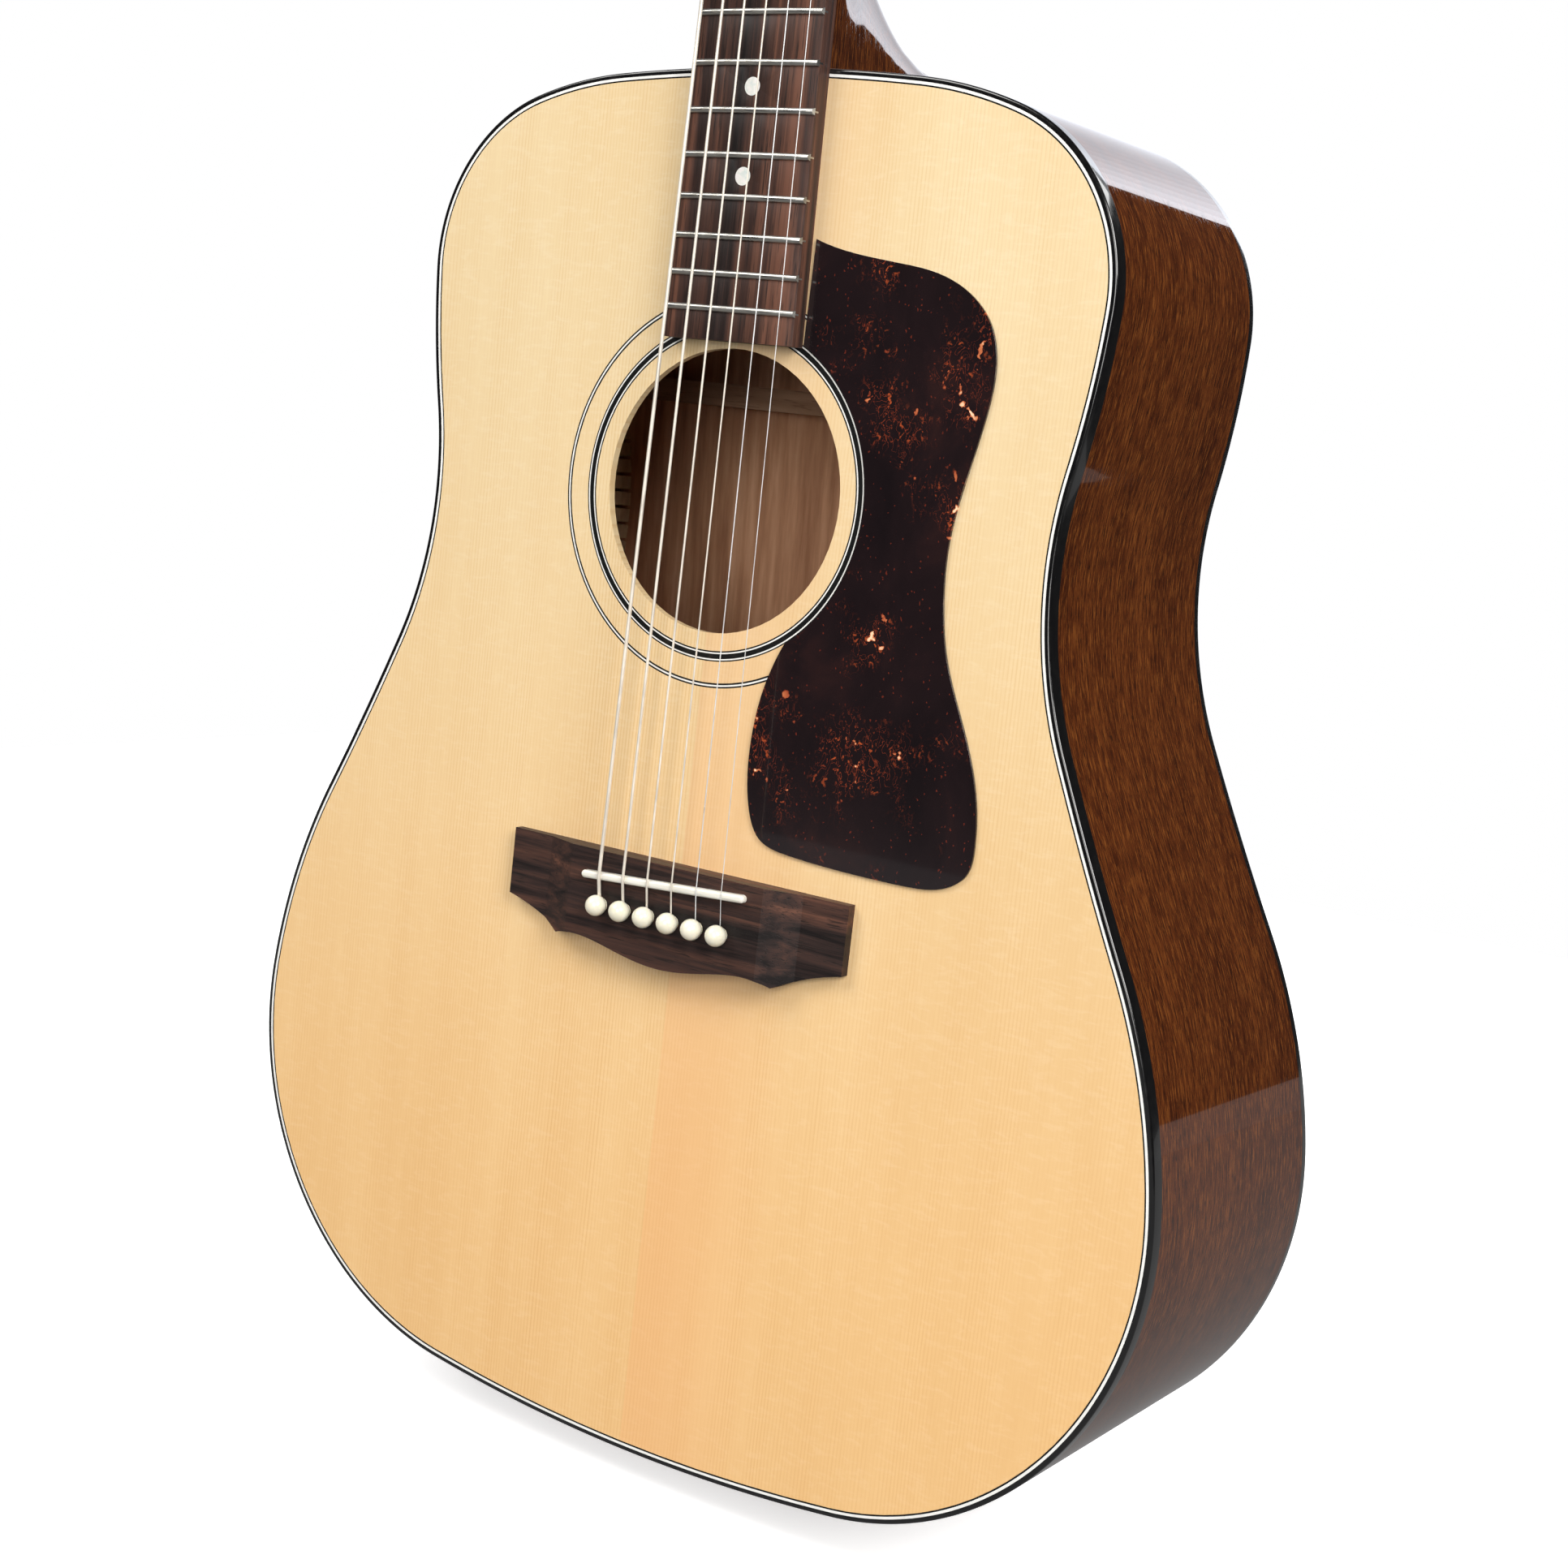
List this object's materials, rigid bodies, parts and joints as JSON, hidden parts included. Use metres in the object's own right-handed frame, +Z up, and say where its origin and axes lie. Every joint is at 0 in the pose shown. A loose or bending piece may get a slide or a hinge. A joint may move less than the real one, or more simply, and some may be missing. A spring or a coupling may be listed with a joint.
{
  "type": "acoustic guitar",
  "caption": "Steel-string flat-top acoustic guitar: braced hollow body, pinned bridge, fretted neck and geared machine heads.",
  "frame": {"origin": "middle of the strap button's outer face at the tail, the lowest point of the guitar", "axes": "+Z up the centre line towards the headstock, -Y out of the soundboard towards the player's audience, +X to the treble side"},
  "size_m": [0.4074, 0.1565, 1.0739],
  "materials": {
    "spruce_top": "gloss lacquer over straight-grained spruce",
    "mahogany_body": "high-gloss lacquer over dark red-brown mahogany",
    "mahogany_neck": "gloss lacquer over red-brown mahogany",
    "rosewood": "oiled, open-pored dark rosewood",
    "rosewood_plate": "gloss lacquer over dark rosewood",
    "block_wood": "bare sawn mahogany",
    "lining_wood": "bare kerfed basswood",
    "brace_spruce": "bare planed spruce",
    "black_binding": "buffed black plastic",
    "purfling_line": "black and white plastic lines, levelled and lacquered",
    "tortoise_guard": "polished plastic with amber and red-brown flecks",
    "bone": "polished bone",
    "pin_cream": "polished cream plastic",
    "pearl": "polished mother of pearl",
    "fret_wire": "polished nickel silver",
    "nickel": "bright nickel plate",
    "dark_steel": "plain machined steel",
    "plain_steel_string": "bright drawn steel wire",
    "wound_bronze_string": "bronze wrap wire",
    "black_knob": "polished black plastic"
  },
  "bodies": {
    "root": {"soundboard": "spruce_top", "back": "mahogany_body", "side_bass": "mahogany_body", "side_treble": "mahogany_body", "neck_block": "block_wood", "end_block": "block_wood", "top_lining": "lining_wood", "back_lining": "lining_wood", "top_binding": "black_binding", "back_binding": "black_binding", "top_purfling": "purfling_line", "rosette_inner": "purfling_line", "rosette_outer": "purfling_line", "end_graft": "black_binding", "soundboard_braces": "brace_spruce", "bridge_plate": "brace_spruce", "back_braces": "brace_spruce", "back_strip": "brace_spruce", "pickguard": "tortoise_guard", "bridge": "rosewood", "saddle": "bone", "neck": "mahogany_neck", "heel_cap": "black_binding", "fingerboard": "rosewood", "frets": "fret_wire", "position_markers": "pearl", "nut": "bone", "headplate": "rosewood_plate", "truss_rod": "dark_steel", "tuner_plates": "nickel", "tuner_bushings": "nickel", "tuner_screws": "nickel", "end_pin": "black_knob", "string_1": "plain_steel_string", "string_2": "plain_steel_string", "string_3": "wound_bronze_string", "string_4": "wound_bronze_string", "string_5": "wound_bronze_string", "string_6": "wound_bronze_string"},
    "bridge_pin_1": {"bridge_pin_1": "pin_cream"},
    "tuner_post_1": {"tuner_post_1": "nickel"},
    "tuner_button_1": {"tuner_button_1": "nickel"},
    "bridge_pin_2": {"bridge_pin_2": "pin_cream"},
    "tuner_post_2": {"tuner_post_2": "nickel"},
    "tuner_button_2": {"tuner_button_2": "nickel"},
    "bridge_pin_3": {"bridge_pin_3": "pin_cream"},
    "tuner_post_3": {"tuner_post_3": "nickel"},
    "tuner_button_3": {"tuner_button_3": "nickel"},
    "bridge_pin_4": {"bridge_pin_4": "pin_cream"},
    "tuner_post_4": {"tuner_post_4": "nickel"},
    "tuner_button_4": {"tuner_button_4": "nickel"},
    "bridge_pin_5": {"bridge_pin_5": "pin_cream"},
    "tuner_post_5": {"tuner_post_5": "nickel"},
    "tuner_button_5": {"tuner_button_5": "nickel"},
    "bridge_pin_6": {"bridge_pin_6": "pin_cream"},
    "tuner_post_6": {"tuner_post_6": "nickel"},
    "tuner_button_6": {"tuner_button_6": "nickel"},
    "truss_rod_nut": {"truss_rod_nut": "dark_steel"}
  },
  "joints": [
    {"name": "bridge_pin_1_pull", "type": "slide", "parent": "root", "child": "bridge_pin_1", "axis": [0, -1, 0], "range_m": [0, 0.024]},
    {"name": "bridge_pin_2_pull", "type": "slide", "parent": "root", "child": "bridge_pin_2", "axis": [0, -1, 0], "range_m": [0, 0.024]},
    {"name": "bridge_pin_3_pull", "type": "slide", "parent": "root", "child": "bridge_pin_3", "axis": [0, -1, 0], "range_m": [0, 0.024]},
    {"name": "bridge_pin_4_pull", "type": "slide", "parent": "root", "child": "bridge_pin_4", "axis": [0, -1, 0], "range_m": [0, 0.024]},
    {"name": "bridge_pin_5_pull", "type": "slide", "parent": "root", "child": "bridge_pin_5", "axis": [0, -1, 0], "range_m": [0, 0.024]},
    {"name": "bridge_pin_6_pull", "type": "slide", "parent": "root", "child": "bridge_pin_6", "axis": [0, -1, 0], "range_m": [0, 0.024]},
    {"name": "tuner_button_1_turn", "type": "hinge", "parent": "root", "child": "tuner_button_1", "pos_m": [0.0225, -0.0436, 0.92094], "axis": [1, 0, 0], "continuous": true},
    {"name": "tuner_post_1_turn", "type": "hinge", "parent": "root", "child": "tuner_post_1", "pos_m": [0.0225, -0.05935, 0.93379], "axis": [0, -0.9703, 0.2419], "continuous": true},
    {"name": "tuner_button_2_turn", "type": "hinge", "parent": "root", "child": "tuner_button_2", "pos_m": [0.0225, -0.03368, 0.96073], "axis": [1, 0, 0], "continuous": true},
    {"name": "tuner_post_2_turn", "type": "hinge", "parent": "root", "child": "tuner_post_2", "pos_m": [0.0225, -0.04944, 0.97357], "axis": [0, -0.9703, 0.2419], "continuous": true},
    {"name": "tuner_button_3_turn", "type": "hinge", "parent": "root", "child": "tuner_button_3", "pos_m": [0.0225, -0.02376, 1.00051], "axis": [1, 0, 0], "continuous": true},
    {"name": "tuner_post_3_turn", "type": "hinge", "parent": "root", "child": "tuner_post_3", "pos_m": [0.0225, -0.03952, 1.01335], "axis": [0, -0.9703, 0.2419], "continuous": true},
    {"name": "tuner_button_4_turn", "type": "hinge", "parent": "root", "child": "tuner_button_4", "pos_m": [-0.0225, -0.02376, 1.00051], "axis": [-1, 0, 0], "continuous": true},
    {"name": "tuner_post_4_turn", "type": "hinge", "parent": "root", "child": "tuner_post_4", "pos_m": [-0.0225, -0.03952, 1.01335], "axis": [0, -0.9703, 0.2419], "continuous": true},
    {"name": "tuner_button_5_turn", "type": "hinge", "parent": "root", "child": "tuner_button_5", "pos_m": [-0.0225, -0.03368, 0.96073], "axis": [-1, 0, 0], "continuous": true},
    {"name": "tuner_post_5_turn", "type": "hinge", "parent": "root", "child": "tuner_post_5", "pos_m": [-0.0225, -0.04944, 0.97357], "axis": [0, -0.9703, 0.2419], "continuous": true},
    {"name": "tuner_button_6_turn", "type": "hinge", "parent": "root", "child": "tuner_button_6", "pos_m": [-0.0225, -0.0436, 0.92094], "axis": [-1, 0, 0], "continuous": true},
    {"name": "tuner_post_6_turn", "type": "hinge", "parent": "root", "child": "tuner_post_6", "pos_m": [-0.0225, -0.05935, 0.93379], "axis": [0, -0.9703, 0.2419], "continuous": true},
    {"name": "truss_rod_nut_turn", "type": "hinge", "parent": "root", "child": "truss_rod_nut", "pos_m": [0, -0.0615, 0.47334], "axis": [0, 0, 1], "range_deg": [-360, 360]}
  ],
  "couplings": [
    {"joint": "tuner_post_1_turn", "follows": "tuner_button_1_turn", "ratio": -0.055556},
    {"joint": "tuner_post_2_turn", "follows": "tuner_button_2_turn", "ratio": -0.055556},
    {"joint": "tuner_post_3_turn", "follows": "tuner_button_3_turn", "ratio": -0.055556},
    {"joint": "tuner_post_4_turn", "follows": "tuner_button_4_turn", "ratio": 0.055556},
    {"joint": "tuner_post_5_turn", "follows": "tuner_button_5_turn", "ratio": 0.055556},
    {"joint": "tuner_post_6_turn", "follows": "tuner_button_6_turn", "ratio": 0.055556}
  ]
}
